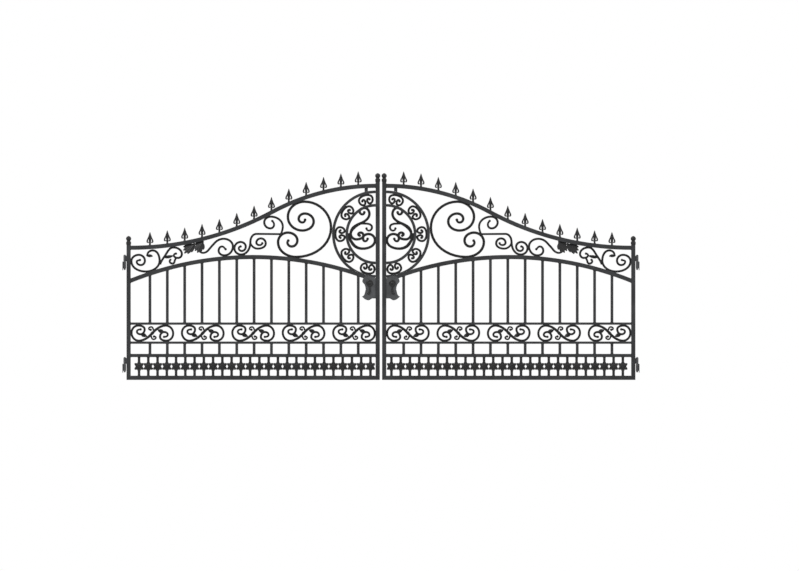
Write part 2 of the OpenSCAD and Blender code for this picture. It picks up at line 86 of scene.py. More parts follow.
# The room is plain: a pale floor a hand's breadth under the leaves, white all round, soft daylight
# from the upper left and a weaker light from the right that shows the far edges.
floor_gap = 0.06
floor_size = 120.0
floor_colour = (0.86, 0.86, 0.85, 1)
paper_white = (1, 1, 1, 1)
sky_strength = 0.62

bpy.ops.mesh.primitive_plane_add(size=floor_size, location=(middle_x, 0, foot.z - floor_gap))
floor = bpy.context.object
floor.name = "floor"
floor_paint = bpy.data.materials.new("floor_paint")
floor_paint.use_nodes = True
floor_paint.node_tree.nodes["Principled BSDF"].inputs["Base Color"].default_value = floor_colour
floor_paint.node_tree.nodes["Principled BSDF"].inputs["Roughness"].default_value = 0.9
floor.data.materials.append(floor_paint)

world = bpy.data.worlds.new("soft_light")
world.use_nodes = True
bpy.context.scene.world = world
sky, links = world.node_tree.nodes, world.node_tree.links
ray = sky.new("ShaderNodeLightPath")
seen = sky.new("ShaderNodeMath")
seen.operation = "MAXIMUM"
links.new(ray.outputs["Is Camera Ray"], seen.inputs[0])
links.new(ray.outputs["Is Glossy Ray"], seen.inputs[1])
level = sky.new("ShaderNodeMapRange")
level.inputs["To Min"].default_value = sky_strength
level.inputs["To Max"].default_value = 1.0
links.new(seen.outputs[0], level.inputs["Value"])
sky["Background"].inputs["Color"].default_value = paper_white
links.new(level.outputs[0], sky["Background"].inputs["Strength"])

for name, turn, strength, softness in (
    ("key_light", (52, 0, -38), 1.5, 24),
    ("side_light", (62, 0, 64), 0.5, 30),
):
    bpy.ops.object.light_add(type="SUN", rotation=[math.radians(a) for a in turn])
    lamp = bpy.context.object
    lamp.name = name
    lamp.data.energy = strength
    lamp.data.angle = math.radians(softness)
bpy.context.scene.view_settings.view_transform = "Standard"


# The frame of each leaf is square steel tube: two stiles, a mitred bottom rail, the swept top rail,
# the arch rail and three level rails. The tube has rounded corners and is painted satin black.
tube_corner = 0.003
rail_corner = 0.002


def pick(*things):
    """Selects these objects and nothing else."""
    bpy.ops.object.select_all(action="DESELECT")
    for thing in things:
        thing.select_set(True)
    bpy.context.view_layer.objects.active = things[0]


def shape(piece, kind, **settings):
    """Adds a modifier to the piece and applies it."""
    pick(piece)
    bpy.ops.object.modifier_add(type=kind)
    modifier = piece.modifiers[-1]
    for key, value in settings.items():
        setattr(modifier, key, value)
    bpy.ops.object.modifier_apply(modifier=modifier.name)


def in_edit(piece, *steps):
    """Runs edit steps on the whole mesh of a piece."""
    pick(piece)
    bpy.ops.object.mode_set(mode="EDIT")
    bpy.ops.mesh.select_all(action="SELECT")
    for step in steps:
        step()
    bpy.ops.object.mode_set(mode="OBJECT")


def outward():
    bpy.ops.mesh.normals_make_consistent(inside=False)


def smooth(piece, degrees):
    pick(piece)
    bpy.ops.object.shade_smooth_by_angle(angle=math.radians(degrees))


def settle(piece):
    """Lays a piece's place, turn and size down into its mesh."""
    pick(piece)
    bpy.ops.object.transform_apply(location=True, rotation=True, scale=True)
    return piece


def copy_of(model):
    pick(model)
    bpy.ops.object.duplicate()
    return bpy.context.object


def join(parts):
    pick(*parts)
    bpy.ops.object.join()
    return parts[0]


def skin_of(node):
    """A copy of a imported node's mesh, welded into one skin with whole flat faces."""
    piece = bpy.data.objects.new(node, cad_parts[node].data.copy())
    bpy.context.scene.collection.objects.link(piece)
    in_edit(
        piece,
        lambda: bpy.ops.mesh.remove_doubles(threshold=0.00002),
        lambda: bpy.ops.mesh.dissolve_limited(angle_limit=math.radians(0.2)),
    )
    return piece


def ease(piece, radius, segments=3):
    """Rounds every hard edge of a piece."""
    shape(
        piece, "BEVEL", width=radius, segments=segments, limit_method="ANGLE",
        angle_limit=math.radians(30), use_clamp_overlap=False,
    )
    smooth(piece, 10)


def hang_pair(piece, label, paint, nodes, bodies=("left_leaf", "right_leaf")):
    """Hangs a finished left-hand piece on its leaf, and its mirror image on the right leaf."""
    piece.data.materials.clear()
    piece.data.materials.append(paint)
    twin = copy_of(piece)
    twin.scale.x, twin.location.x = -1, gate_w
    in_edit(settle(twin), outward)
    for side, body, part in zip(("left_", "right_"), bodies, (piece, twin)):
        part.name = part.data.name = side + label
        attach(part, body)
        if nodes:
            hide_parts(*(side + node for node in nodes))


settled_dust = (0.11, 0.105, 0.098, 1)


def black_paint(name, colour, sheen, rough, grain, grain_depth, dent=0.0, dent_depth=0.0):
    """Satin black paint on iron: cloudy colour, uneven gloss, orange peel, a little dust on what
    faces up and, on forged bar, the flats that the hammer left."""
    paint = bpy.data.materials.new(name)
    paint.use_nodes = True
    nodes, links = paint.node_tree.nodes, paint.node_tree.links
    shader = nodes["Principled BSDF"]
    shader.inputs["Specular IOR Level"].default_value = sheen
    place = nodes.new("ShaderNodeTexCoord")

    cloud = nodes.new("ShaderNodeTexNoise")
    cloud.inputs["Scale"].default_value = 7
    cloud.inputs["Detail"].default_value = 5
    links.new(place.outputs["Object"], cloud.inputs["Vector"])
    tint = nodes.new("ShaderNodeValToRGB")
    tint.color_ramp.elements[0].position = 0.35
    tint.color_ramp.elements[0].color = (*(c * 0.75 for c in colour), 1)
    tint.color_ramp.elements[1].position = 0.7
    tint.color_ramp.elements[1].color = (*(c * 1.35 for c in colour), 1)
    links.new(cloud.outputs["Fac"], tint.inputs["Fac"])

    facing = nodes.new("ShaderNodeNewGeometry")
    up = nodes.new("ShaderNodeSeparateXYZ")
    links.new(facing.outputs["Normal"], up.inputs[0])
    settled = nodes.new("ShaderNodeMapRange")
    settled.inputs["From Min"].default_value = 0.55
    settled.inputs["From Max"].default_value = 1.0
    settled.inputs["To Max"].default_value = 0.5
    links.new(up.outputs["Z"], settled.inputs["Value"])
    dusty = nodes.new("ShaderNodeMix")
    dusty.data_type = "RGBA"
    dusty.inputs["B"].default_value = settled_dust
    links.new(settled.outputs[0], dusty.inputs["Factor"])
    links.new(tint.outputs["Color"], dusty.inputs["A"])
    links.new(dusty.outputs["Result"], shader.inputs["Base Color"])

    peel = nodes.new("ShaderNodeTexNoise")
    peel.inputs["Scale"].default_value = grain
    peel.inputs["Detail"].default_value = 3
    links.new(place.outputs["Object"], peel.inputs["Vector"])
    gloss = nodes.new("ShaderNodeMapRange")
    gloss.inputs["From Min"].default_value = 0.3
    gloss.inputs["From Max"].default_value = 0.7
    gloss.inputs["To Min"].default_value = rough - 0.07
    gloss.inputs["To Max"].default_value = rough + 0.09
    links.new(cloud.outputs["Fac"], gloss.inputs["Value"])
    links.new(gloss.outputs[0], shader.inputs["Roughness"])

    skin = nodes.new("ShaderNodeBump")
    skin.inputs["Distance"].default_value = grain_depth
    links.new(peel.outputs["Fac"], skin.inputs["Height"])
    if dent:
        hammer = nodes.new("ShaderNodeTexVoronoi")
        hammer.feature = "SMOOTH_F1"
        hammer.inputs["Scale"].default_value = 1 / dent
        hammer.inputs["Smoothness"].default_value = 0.35
        links.new(place.outputs["Object"], hammer.inputs["Vector"])
        flats = nodes.new("ShaderNodeBump")
        flats.inputs["Distance"].default_value = dent_depth
        links.new(hammer.outputs["Distance"], flats.inputs["Height"])
        links.new(flats.outputs["Normal"], skin.inputs["Normal"])
    links.new(skin.outputs["Normal"], shader.inputs["Normal"])
    return paint


tube_paint = black_paint("tube_paint", (0.026, 0.027, 0.029), 0.25, 0.40, 420, 0.00025)
for node, corner in (
    ("hinge_stile", tube_corner),
    ("meeting_stile", tube_corner),
    ("bottom_rail", tube_corner),
    ("top_rail", tube_corner),
    ("arch_rail", tube_corner),
    ("cross_rails", rail_corner),
):
    tube = skin_of("left_" + node)
    ease(tube, corner)
    hang_pair(tube, node + "_tube", tube_paint, [node])


# The pickets are square bar, tall ones under the arch rail and short ones under the scroll band.
# Each is welded to the rails at both ends, and the beads are left as the welder laid them.
picket_count = 13
picket_corner = 0.0016
bead_r = 0.0034
bead_pitch = 0.0060
bead_ripple = 0.22
beside_middle = 0.002
inside_bar = 0.010

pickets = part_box("left_pickets")
picket_w = pickets[1].y - pickets[0].y
picket_first = pickets[0].x + picket_w / 2
picket_pitch = (pickets[1].x - pickets[0].x - picket_w) / (picket_count - 1)
picket_xs = [picket_first + i * picket_pitch for i in range(picket_count)]
faces_of = {}


def look_along(node, x, start_z, way):
    """What an upright line at x, from start_z up (way 1) or down (way -1), meets first in a node."""
    if node not in faces_of:
        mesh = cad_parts[node].data
        faces_of[node] = BVHTree.FromPolygons(
            [v.co for v in mesh.vertices], [p.vertices for p in mesh.polygons]
        )
    return faces_of[node].ray_cast(Vector((x, beside_middle, start_z)), Vector((0, 0, way)))[:2]


def face_at(node, x, start_z, way):
    """The height of the face that such a line meets, and its slope."""
    place, normal = look_along(node, x, start_z, way)
    return place.z, math.atan2(normal.x, abs(normal.z)) * -way


def bead_round(width, depth):
    """A weld bead that runs round the end of a bar, lying level at the origin."""
    ripples = round(2 * (width + depth) / bead_pitch)
    bpy.ops.mesh.primitive_torus_add(
        major_segments=3 * ripples, minor_segments=6, major_radius=1, minor_radius=bead_r
    )
    bead = bpy.context.object
    for v in bead.data.vertices:
        a = math.atan2(v.co.y, v.co.x)
        ripple = 1 + bead_ripple * math.cos(ripples * a)
        out = (math.hypot(v.co.x, v.co.y) - 1) * ripple
        square = 1 / max(abs(math.cos(a)), abs(math.sin(a)))
        v.co.x = math.cos(a) * (square * width / 2 + out)
        v.co.y = math.sin(a) * (square * depth / 2 + out)
        v.co.z *= ripple
    smooth(bead, 60)
    return bead


def copy_to(model, place, tilt=0.0):
    """A copy of a model with its own mesh, tilted about Y and moved into place."""
    made = copy_of(model)
    made.rotation_euler.y = tilt
    made.location = place
    return settle(made)


rows = skin_of("left_pickets")
ease(rows, picket_corner, segments=2)
model_bead = bead_round(picket_w, picket_w)
level_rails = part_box("left_cross_rails")
short_foot = pickets[0].z
band_top = level_rails[1].z
beads = []
for x in picket_xs:
    short_top = face_at("left_cross_rails", x, short_foot + inside_bar, 1)
    tall_top = face_at("left_arch_rail", x, band_top + inside_bar, 1)
    for z, tilt in ((short_foot, 0), short_top, (band_top, 0), tall_top):
        beads.append(copy_to(model_bead, (x, 0, z), tilt))
bpy.data.objects.remove(model_bead)
rows = join([rows, *beads])
hang_pair(rows, "picket_bars", tube_paint, ["pickets"])


# The rails are cut to fit between the stiles and welded to them all round. Each weld is a rippled
# bead that follows the end of its rail.
hinge_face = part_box("left_hinge_stile")[1].x
hinge_face_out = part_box("left_hinge_stile")[0].x
meeting_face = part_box("left_meeting_stile")[0].x
face_in = 0.0005


def spans(node, x):
    """The stretches of an upright line at x that lie inside a node, as (low, high)."""
    heights = []
    hit = look_along(node, x, foot.z, 1)[0]
    while hit:
        heights.append(hit.z)
        hit = look_along(node, x, hit.z + face_in, 1)[0]
    return list(zip(heights[::2], heights[1::2]))


welds = []
for node in ("top_rail", "arch_rail", "cross_rails"):
    rail_depth = 2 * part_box("left_" + node)[1].y
    for x, way in ((hinge_face, 1), (meeting_face, -1)):
        for low, high in spans("left_" + node, x + way * face_in):
            bead = bead_round(high - low, rail_depth)
            welds.append(copy_to(bead, (x, 0, (low + high) / 2), math.radians(90)))
            bpy.data.objects.remove(bead)
hang_pair(join(welds), "rail_welds", tube_paint, [])


# Spearheads are cast iron: a four-sided blade between two hanging barbs, on a collar and a short
# square stem that is welded to the top rail over each picket.
spear_h = 0.140
spear_stem_w = 0.020
spear_stem_deep = 0.018
spear_ease = 0.0012
barb_bar = 0.0170
barb_deep = 0.0135
blade_steps = [
    (0.022, 0.0080, 0.0060), (0.036, 0.0115, 0.0080), (0.054, 0.0142, 0.0096),
    (0.070, 0.0148, 0.0100), (0.086, 0.0136, 0.0094), (0.100, 0.0124, 0.0086),
    (0.112, 0.0106, 0.0072), (0.124, 0.0072, 0.0050), (0.133, 0.0040, 0.0028),
    (spear_h, 0.0004, 0.0004),
]
spear_stem_steps = [
    (-0.004, spear_stem_w / 2, spear_stem_deep / 2), (0.024, spear_stem_w / 2, spear_stem_deep / 2),
    (0.030, 0.007, 0.0065),
]
collar_steps = [
    (0.0165, 0.010, 0.009), (0.018, 0.0126, 0.0112), (0.0215, 0.0135, 0.0122),
    (0.025, 0.0126, 0.0112), (0.0265, 0.009, 0.008),
]
barb_line = [
    (0.0065, 0.114, -72), (0.0165, 0.078, -73), (0.0290, 0.044, -80), (0.0235, 0.0290, -180),
    (0.0170, 0.0340, -275),
]


def drawn_out(stations, sides, square=False):
    """A closed body drawn out through level stations, each (height, half width, half depth)."""
    z, wide, deep = stations[0]
    turn = math.pi / 4 if square else 0
    bpy.ops.mesh.primitive_circle_add(
        vertices=sides, radius=math.sqrt(2) if square else 1, fill_type="NGON",
        rotation=(0, 0, turn),
    )
    body = bpy.context.object
    bpy.ops.object.transform_apply(rotation=True)
    bpy.ops.object.mode_set(mode="EDIT")
    bpy.ops.mesh.select_all(action="SELECT")
    bpy.ops.transform.resize(value=(wide, deep, 1), center_override=(0, 0, 0))
    bpy.ops.transform.translate(value=(0, 0, z))
    for next_z, next_wide, next_deep in stations[1:]:
        bpy.ops.mesh.extrude_region_move(TRANSFORM_OT_translate={"value": (0, 0, next_z - z)})
        bpy.ops.transform.resize(
            value=(next_wide / wide, next_deep / deep, 1), center_override=(0, 0, next_z)
        )
        z, wide, deep = next_z, next_wide, next_deep
    bpy.ops.mesh.select_all(action="SELECT")
    outward()
    bpy.ops.object.mode_set(mode="OBJECT")
    return body


def reach(leave, arrive):
    """Share of the chord that a curve's handle takes, for a stretch close to a circle's arc."""
    sa, sb, ca, cb = math.sin(leave), math.sin(arrive), math.cos(leave), math.cos(arrive)
    swing = math.sqrt(2) * (sa - sb / 16) * (sb - sa / 16) * (ca - cb)
    return (2 + swing) / (3 * (1 + (math.sqrt(5) - 1) / 2 * ca + (3 - math.sqrt(5)) / 2 * cb))


def wrap(a):
    return (a + math.pi) % (2 * math.pi) - math.pi


def bar_section(thick, deep, corner=0.4, points=16):
    """The cross-section of a forged bar: nearly square, with eased corners and a slight crown."""
    bpy.ops.curve.primitive_bezier_circle_add()
    section = bpy.context.object
    section.data.splines.clear()
    outline = section.data.splines.new("POLY")
    outline.points.add(points - 1)
    outline.use_cyclic_u = True
    for i, point in enumerate(outline.points):
        a = 2 * math.pi * i / points
        c, s = math.cos(a), math.sin(a)
        point.co = (
            math.copysign(abs(c) ** corner, c) * thick / 2,
            math.copysign(abs(s) ** corner, s) * deep / 2,
            0, 1,
        )
    return section


drawn_stretches = 2


def forge(line, section, shares=(1, 1), steps=10, swell=(0, 0)):
    """A bar bent along a line of (x, z, heading) in metres and degrees. It is drawn down towards
    each end, over the last stretches of its line, to that share of its thickness, and may swell
    at one point, given with that share."""
    bpy.ops.curve.primitive_bezier_curve_add()
    bar = bpy.context.object
    curve = bar.data
    curve.dimensions = "2D"
    curve.fill_mode = "NONE"
    curve.resolution_u = steps
    curve.bevel_mode = "OBJECT"
    curve.bevel_object = section
    curve.use_fill_caps = True
    curve.splines.clear()
    path = curve.splines.new("BEZIER")
    path.bezier_points.add(len(line) - 1)
    last = len(line) - 1
    for i, (node, (x, z, heading)) in enumerate(zip(path.bezier_points, line)):
        node.handle_left_type = node.handle_right_type = "FREE"
        node.co = node.handle_left = node.handle_right = (x, z, 0)
        to_start = min(i / drawn_stretches, 1)
        to_end = min((last - i) / drawn_stretches, 1)
        node.radius = min(
            shares[0] + (1 - shares[0]) * to_start, shares[1] + (1 - shares[1]) * to_end
        )
        if i == swell[0]:
            node.radius = max(node.radius, swell[1])
    for near, far, here, there in zip(
        path.bezier_points, path.bezier_points[1:], line, line[1:]
    ):
        chord = far.co - near.co
        way = math.atan2(chord.y, chord.x)
        out, home = math.radians(here[2]), math.radians(there[2])
        leave, arrive = wrap(out - way), wrap(way - home)
        near.handle_right = near.co + chord.length * reach(leave, arrive) * Vector(
            (math.cos(out), math.sin(out), 0)
        )
        far.handle_left = far.co - chord.length * reach(arrive, leave) * Vector(
            (math.cos(home), math.sin(home), 0)
        )
    bar.rotation_euler.x = math.radians(90)
    pick(bar)
    bpy.ops.object.convert(target="MESH")
    in_edit(settle(bar), lambda: bpy.ops.mesh.remove_doubles(threshold=0.00002), outward)
    smooth(bar, 50)
    return bar


def ball(x, z, radius, deep=None, segments=16, rings=10):
    """A ball beaten on a bar's end, flattened to the bar's depth."""
    bpy.ops.mesh.primitive_uv_sphere_add(
        segments=segments, ring_count=rings, radius=radius, location=(x, 0, z),
        scale=(1, (deep or radius) / radius, 1),
    )
    made = settle(bpy.context.object)
    smooth(made, 60)
    return made


blade = drawn_out(blade_steps, 4)
stem = drawn_out(spear_stem_steps, 4, square=True)
ease(stem, spear_ease, 2)
collar = drawn_out(collar_steps, 20)
smooth(collar, 50)
barb_section = bar_section(barb_bar, barb_deep, corner=0.7, points=10)
barbs = []
for side in (1, -1):
    line = [(x * side, z, heading if side > 0 else 180 - heading) for x, z, heading in barb_line]
    barbs.append(forge(line, barb_section, shares=(0.35, 0.85), steps=5))
foot_bead = bead_round(spear_stem_w, spear_stem_deep)
model_spear = join([blade, stem, collar, *barbs, foot_bead])
spears = []
for x in picket_xs:
    rail_face = look_along("left_top_rail", x, cad_box[1].z + 1, -1)[0]
    spears.append(copy_to(model_spear, (x, 0, rail_face.z)))
bpy.data.objects.remove(model_spear)
cast_paint = black_paint("cast_paint", (0.016, 0.016, 0.0168), 0.26, 0.40, 260, 0.0004)
hang_pair(join(spears), "spearhead_row", cast_paint, ["spearheads"])


# Each stile ends in a cast ball, drawn up to a slight point, on a square cap. The cap's skirt is driven
# down over the tube.
ball_r = 0.028
cap_half = 0.0265
cap_h = 0.020
skirt = 0.018
cap_ease = 0.0014
ball_sink = 0.003
ball_draw_from = 1.75
ball_draw = 3.2
cap_steps = [
    (-skirt, cap_half, cap_half), (0.010, cap_half, cap_half),
    (0.0125, cap_half - 0.003, cap_half - 0.003), (cap_h, cap_half - 0.009, cap_half - 0.009),
]
neck_steps = [
    (cap_h - 0.001, 0.019, 0.019), (cap_h + 0.002, 0.0195, 0.0195),
    (cap_h + 0.005, 0.018, 0.018), (cap_h + 0.007, 0.014, 0.014),
]

finials = []
for node in ("left_hinge_stile", "left_meeting_stile"):
    low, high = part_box(node)
    x, top = (low.x + high.x) / 2, high.z
    cap = drawn_out(cap_steps, 4, square=True)
    ease(cap, cap_ease, 2)
    neck = drawn_out(neck_steps, 32)
    smooth(neck, 50)
    orb = ball(0, cap_h + ball_r - ball_sink, ball_r, segments=40, rings=24)
    for v in orb.data.vertices:
        over = max(0, v.co.z - (cap_h + ball_draw_from * ball_r))
        v.co.z += ball_draw * over * over / ball_r
    finials.append(copy_to(join([cap, neck, orb]), (x, 0, top)))
    bpy.data.objects.remove(cap)
hang_pair(join(finials), "stile_finials", cast_paint, ["finials"])


# Two half rings of flat bar stand on the meeting stile, and a short block ties the outer one to the
# top rail.
ring_corner = 0.0025
for node in ("outer_ring", "inner_ring"):
    ring = skin_of("left_" + node)
    ease(ring, ring_corner)
    hang_pair(ring, node + "_bar", tube_paint, [node])


# The scrolls are drawn on the bench in millimetres, from the leaf's lower hinge-side corner, and
# forged from square bar: the ends are drawn down and rolled, and the bar keeps its hammer flats.
MM = 0.001
bar_deep = 0.024
big_bar = 0.0280
small_bar = 0.0238
big_ball = 0.0155
small_ball = 0.0135
hammer_depth = 0.0007

hammer_marks = bpy.data.textures.new("hammer_marks", "CLOUDS")
hammer_marks.noise_scale = 0.018
big_section = bar_section(big_bar, bar_deep)
small_section = bar_section(small_bar, bar_deep)
forged_paint = black_paint(
    "forged_paint", (0.008, 0.008, 0.0085), 0.20, 0.36, 300, 0.00025, dent=0.016, dent_depth=0.0016
)


def chalked(line, at=None, turn=0.0):
    """A line in millimetres as (x, z, heading) in metres: from the leaf's corner, or else turned
    about a point of the leaf and moved there."""
    at = at or Vector((foot.x, 0, foot.z))
    c, s = math.cos(math.radians(turn)) * MM, math.sin(math.radians(turn)) * MM
    return [(at.x + x * c - z * s, at.z + x * s + z * c, a + turn) for x, z, a in line]


def mirrored(half):
    """The other half of a C scroll, walked back from the end of the first."""
    return [(-x, z, 360 - a) for x, z, a in half[-2::-1]]


def turned(half):
    """The other half of an S scroll."""
    return [(-x, -z, a) for x, z, a in half[-2::-1]]


def scroll(line, section, balls, shares=(0.85, 0.85), swell=(0, 0)):
    """A forged scroll, with a ball of that radius on an end that has one."""
    parts = [forge(line, section, shares, swell=swell)]
    for (x, z, _), radius in zip((line[0], line[-1]), balls):
        if radius:
            parts.append(ball(x, z, radius, bar_deep / 2))
    made = join(parts)
    shape(made, "DISPLACE", texture=hammer_marks, texture_coords="LOCAL", strength=hammer_depth,
          mid_level=0.5)
    return made


ring_seat = 0.0003
inner_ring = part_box("left_inner_ring")
outer_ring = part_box("left_outer_ring")
ring_middle = Vector((inner_ring[1].x + ring_seat, 0, (inner_ring[0].z + inner_ring[1].z) / 2))
inner_r = (inner_ring[1].z - inner_ring[0].z) / 2
outer_r = ring_middle.z - outer_ring[0].z
ring_bar = 0.030
cee_r = (inner_r + outer_r - ring_bar) / 2
cee_half = [(40, -4, 90), (28, 8, 180), (12, -14, 270), (34, -48, 0), (74, 3, 90), (0, 50, 180)]
cee_angles = (106, 143, 180, 217, 257)
cees = []
for a in cee_angles:
    line = [(x, z + cee_r / MM, h) for x, z, h in cee_half + mirrored(cee_half)]
    cees.append(scroll(chalked(line, ring_middle, a - 90), small_section, (small_ball, small_ball)))
hang_pair(join(cees), "ring_cees", forged_paint, ["ring_scrolls"])

# The medallion inside the rings is one long scroll, with a lower branch that springs from the inner
# ring and a side branch of lighter bar.
medal_line = [
    (-121, 232, 280), (-142, 210, 180), (-170, 244, 90), (-117, 278, 0), (-66, 216, 270),
    (-144, 123, 205), (-235, 67, 225), (-265, 6, 270), (-206, -56, 0), (-130, -12, 90),
    (-159, 16, 180), (-185, -3, 270), (-170, -16, 0),
]
medal_low_line = [
    (-287, 11, 272), (-235, -114, 310), (-136, -155, 0), (-7, -66, 90), (-75, 1, 180),
    (-134, -43, 270), (-112, -76, 0), (-85, -51, 80),
]
medal_side_line = [(-165, 110, 10), (-106, 112, 0), (-39, 73, 270), (-71, 37, 180), (-97, 60, 90)]
medal = [
    scroll(chalked(medal_line, ring_middle), big_section, (big_ball, big_ball), swell=(6, 1.4)),
    scroll(chalked(medal_low_line, ring_middle), big_section, (0, 0.0150), (1, 0.8), (1, 1.25)),
    scroll(chalked(medal_side_line, ring_middle), small_section, (0, small_ball), (0.9, 0.8)),
]
hang_pair(join(medal), "medallion_forging", forged_paint, ["medallion_scroll"])

# The big scroll turns beside the rings, from the top rail down to the arch and back on itself. It is
# forged in one length from the heavier bar.
big_line = [
    (1903, 1706, 270), (1874, 1678, 180), (1835, 1717, 90), (1900, 1773, 0), (1995, 1688, 270),
    (1874, 1592, 180), (1720, 1738, 90), (1897, 1900, 0), (2180, 1622, 270), (1808, 1310, 180),
    (1615, 1468, 90), (1720, 1570, 0), (1821, 1486, 270), (1761, 1422, 180), (1715, 1465, 90),
    (1724, 1484, 60),
]
big = scroll(chalked(big_line), big_section, (big_ball, big_ball))
hang_pair(big, "big_forging", forged_paint, ["big_scroll"])

# Four lighter scrolls fill the narrowing space between the rails. They lean on one another and on the
# rails, and are welded where they touch.
hook_line = [
    (1554, 1694, 315), (1573, 1655, 270), (1533, 1615, 180), (1468, 1680, 90), (1539, 1740, 0),
    (1666, 1634, 270), (1628, 1518, 245),
]
long_line = [
    (1645, 1554, 180), (1385, 1556, 180), (1320, 1468, 270), (1222, 1336, 180), (1150, 1403, 90),
    (1216, 1470, 0), (1271, 1420, 270), (1229, 1374, 180), (1197, 1403, 90), (1216, 1422, 0),
]
branch_line = [
    (1322, 1455, 290), (1399, 1399, 0), (1484, 1455, 90), (1432, 1508, 180), (1384, 1463, 270),
    (1416, 1437, 0), (1447, 1456, 80),
]
ess_line = [
    (1056, 1393, 135), (1018, 1422, 180), (982, 1377, 270), (1043, 1327, 0), (1134, 1423, 90),
    (1036, 1504, 180), (943, 1463, 228), (876, 1387, 232), (817, 1354, 180), (770, 1378, 130),
]
middle = [
    scroll(chalked(hook_line), small_section, (small_ball, 0), (0.85, 0.9)),
    scroll(chalked(long_line), small_section, (0, small_ball), (0.9, 0.85)),
    scroll(chalked(branch_line), small_section, (0, small_ball), (0.9, 0.85)),
    scroll(chalked(ess_line), small_section, (small_ball, 0.0110)),
]
hang_pair(join(middle), "middle_forgings", forged_paint, ["middle_scrolls"])

# The last scrolls run out against the hinge stile, on a stem with a curl under the leaves. Two beaten
# leaves grow from them, one at the hook's end and one on the stem.
end_line = [
    (143, 1278, 200), (109, 1259, 270), (153, 1224, 0), (196, 1271, 90), (131, 1333, 180),
    (52, 1265, 270), (205, 1155, 0), (353, 1271, 90), (279, 1380, 180), (223, 1338, 260),
    (219, 1318, 265),
]
stem_line = [
    (358, 1230, 75), (408, 1320, 55), (500, 1412, 0), (590, 1342, 270), (550, 1300, 180),
    (505, 1325, 100), (527, 1346, 0),
]
curl_line = [(530, 1306, 250), (512, 1262, 262), (490, 1240, 180), (460, 1262, 100), (468, 1280, 30)]
leaf_thick = 0.0075
leaf_ribs = 6
rib_slant = 0.12
rib_rise = 0.16
edge_wave = 0.09
midrib_w = 0.2
web_thick = 0.38
leaf_cup = 0.2


def leaf(spot, length, width, curl, lift=0.0, full=0.85, blunt=0.75):
    """A beaten leaf with a midrib, side ribs and a waved edge. It starts at a spot (x, z, heading),
    turns by curl degrees along its length, and its tip is lifted towards the front. It is widest
    nearer the tip where full is more, and rounder where blunt is less."""
    bpy.ops.mesh.primitive_uv_sphere_add(segments=20, ring_count=30, radius=1)
    made = bpy.context.object
    x, z, start = spot[0], spot[1], math.radians(spot[2])
    bend = math.radians(curl) or 0.001
    for v in made.data.vertices:
        along = math.acos(max(-1, min(1, -v.co.z))) / math.pi
        around = math.atan2(v.co.y, v.co.x)
        across, front = math.cos(around), math.sin(around)
        heading = start + bend * along
        wave = math.cos(2 * math.pi * leaf_ribs * (along - rib_slant * abs(across)))
        half = width / 2 * math.sin(math.pi * along ** full) ** blunt * (1 + edge_wave * wave)
        midrib = (1 - web_thick) * math.exp(-((across / midrib_w) ** 2))
        thick = web_thick + midrib + rib_rise * wave * abs(across)
        deep = leaf_thick / 2 * front * thick * math.sqrt(math.sin(math.pi * along))
        run = length / bend
        v.co.x = x + run * (math.sin(heading) - math.sin(start)) - half * across * math.sin(heading)
        v.co.z = z + run * (math.cos(start) - math.cos(heading)) + half * across * math.cos(heading)
        v.co.y = deep + leaf_cup * half * across ** 2 - lift * along ** 2
    in_edit(made, outward)
    smooth(made, 40)
    return made


hook_leaf = chalked([(217, 1317, 22)])[0]
stem_leaf = chalked([(396, 1306, 4)])[0]
end = [
    scroll(chalked(end_line), small_section, (small_ball, 0)),
    scroll(chalked(stem_line), small_section, (0, 0.0130), (1, 0.85)),
    scroll(chalked(curl_line), small_section, (0, 0.0125), (0.9, 0.85)),
    leaf(hook_leaf, 0.068, 0.032, -45),
    leaf(stem_leaf, 0.112, 0.034, 12),
]
hang_pair(join(end), "end_forgings", forged_paint, ["end_scrolls"])


# Two acanthus leaves hang from the top rail. Each is a fan of beaten lobes from one root, which is
# riveted up against the rail by a round knuckle.
lobe_w = 0.038
lobe_curl = 8
lobe_lift = 0.006
lobe_full = 1.2
lobe_blunt = 0.58
back_lobe_y = 0.004
lobe_layer = 0.002
knuckle_r = 0.014
knuckle_deep = 0.011
leaf_fans = (
    ((722, 1446), ((190, 0.122), (262, 0.052), (205, 0.136), (247, 0.092), (219, 0.146), (232, 0.126))),
    ((812, 1470), ((194, 0.088), (272, 0.084), (214, 0.116), (254, 0.120), (225, 0.128), (240, 0.130))),
)

fans = []
for (x, z), lobes in leaf_fans:
    for layer, (heading, length) in enumerate(lobes):
        spot = chalked([(x, z, heading)])[0]
        lobe = leaf(spot, length, lobe_w, lobe_curl, lobe_lift, lobe_full, lobe_blunt)
        fans.append(copy_to(lobe, (0, back_lobe_y - lobe_layer * layer, 0)))
        bpy.data.objects.remove(lobe)
    root = chalked([(x, z, 0)])[0]
    fans.append(ball(root[0], root[1], knuckle_r, knuckle_deep))
hang_pair(join(fans), "acanthus_fans", cast_paint, ["acanthus_leaves"])

# Five S scrolls stand in the band. Each swells under a collar at its middle, and has two commas on
# its slope and a bud in either eye.
ess_half = [
    (-125, 40, 180), (-164, 17, 270), (-126, -12, 0), (-82, 40, 90), (-150, 80.7, 180),
    (-222, 4, 270), (-144, -80.7, 0), (0, 0, 48),
]
comma_line = [(20, 20, 125), (-14, 66, 185), (-38, 48, 270), (-18, 36, 10)]
bud_spot = (-122, -6, -30)
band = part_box("left_band_scrolls")
panel_count = 5
panel_half = 0.230
band_z = (band[0].z + band[1].z) / 2
panel_step = (band[1].x - band[0].x - 2 * panel_half) / (panel_count - 1)
comma_bar = 0.0180
comma_section = bar_section(comma_bar, bar_deep)
ess_swell = (7, 1.25)
ess_collar = (0.024, 0.034, 0.030)
collar_ease = 0.003
bud_l = 0.072
bud_w = 0.044
bud_curl = 16


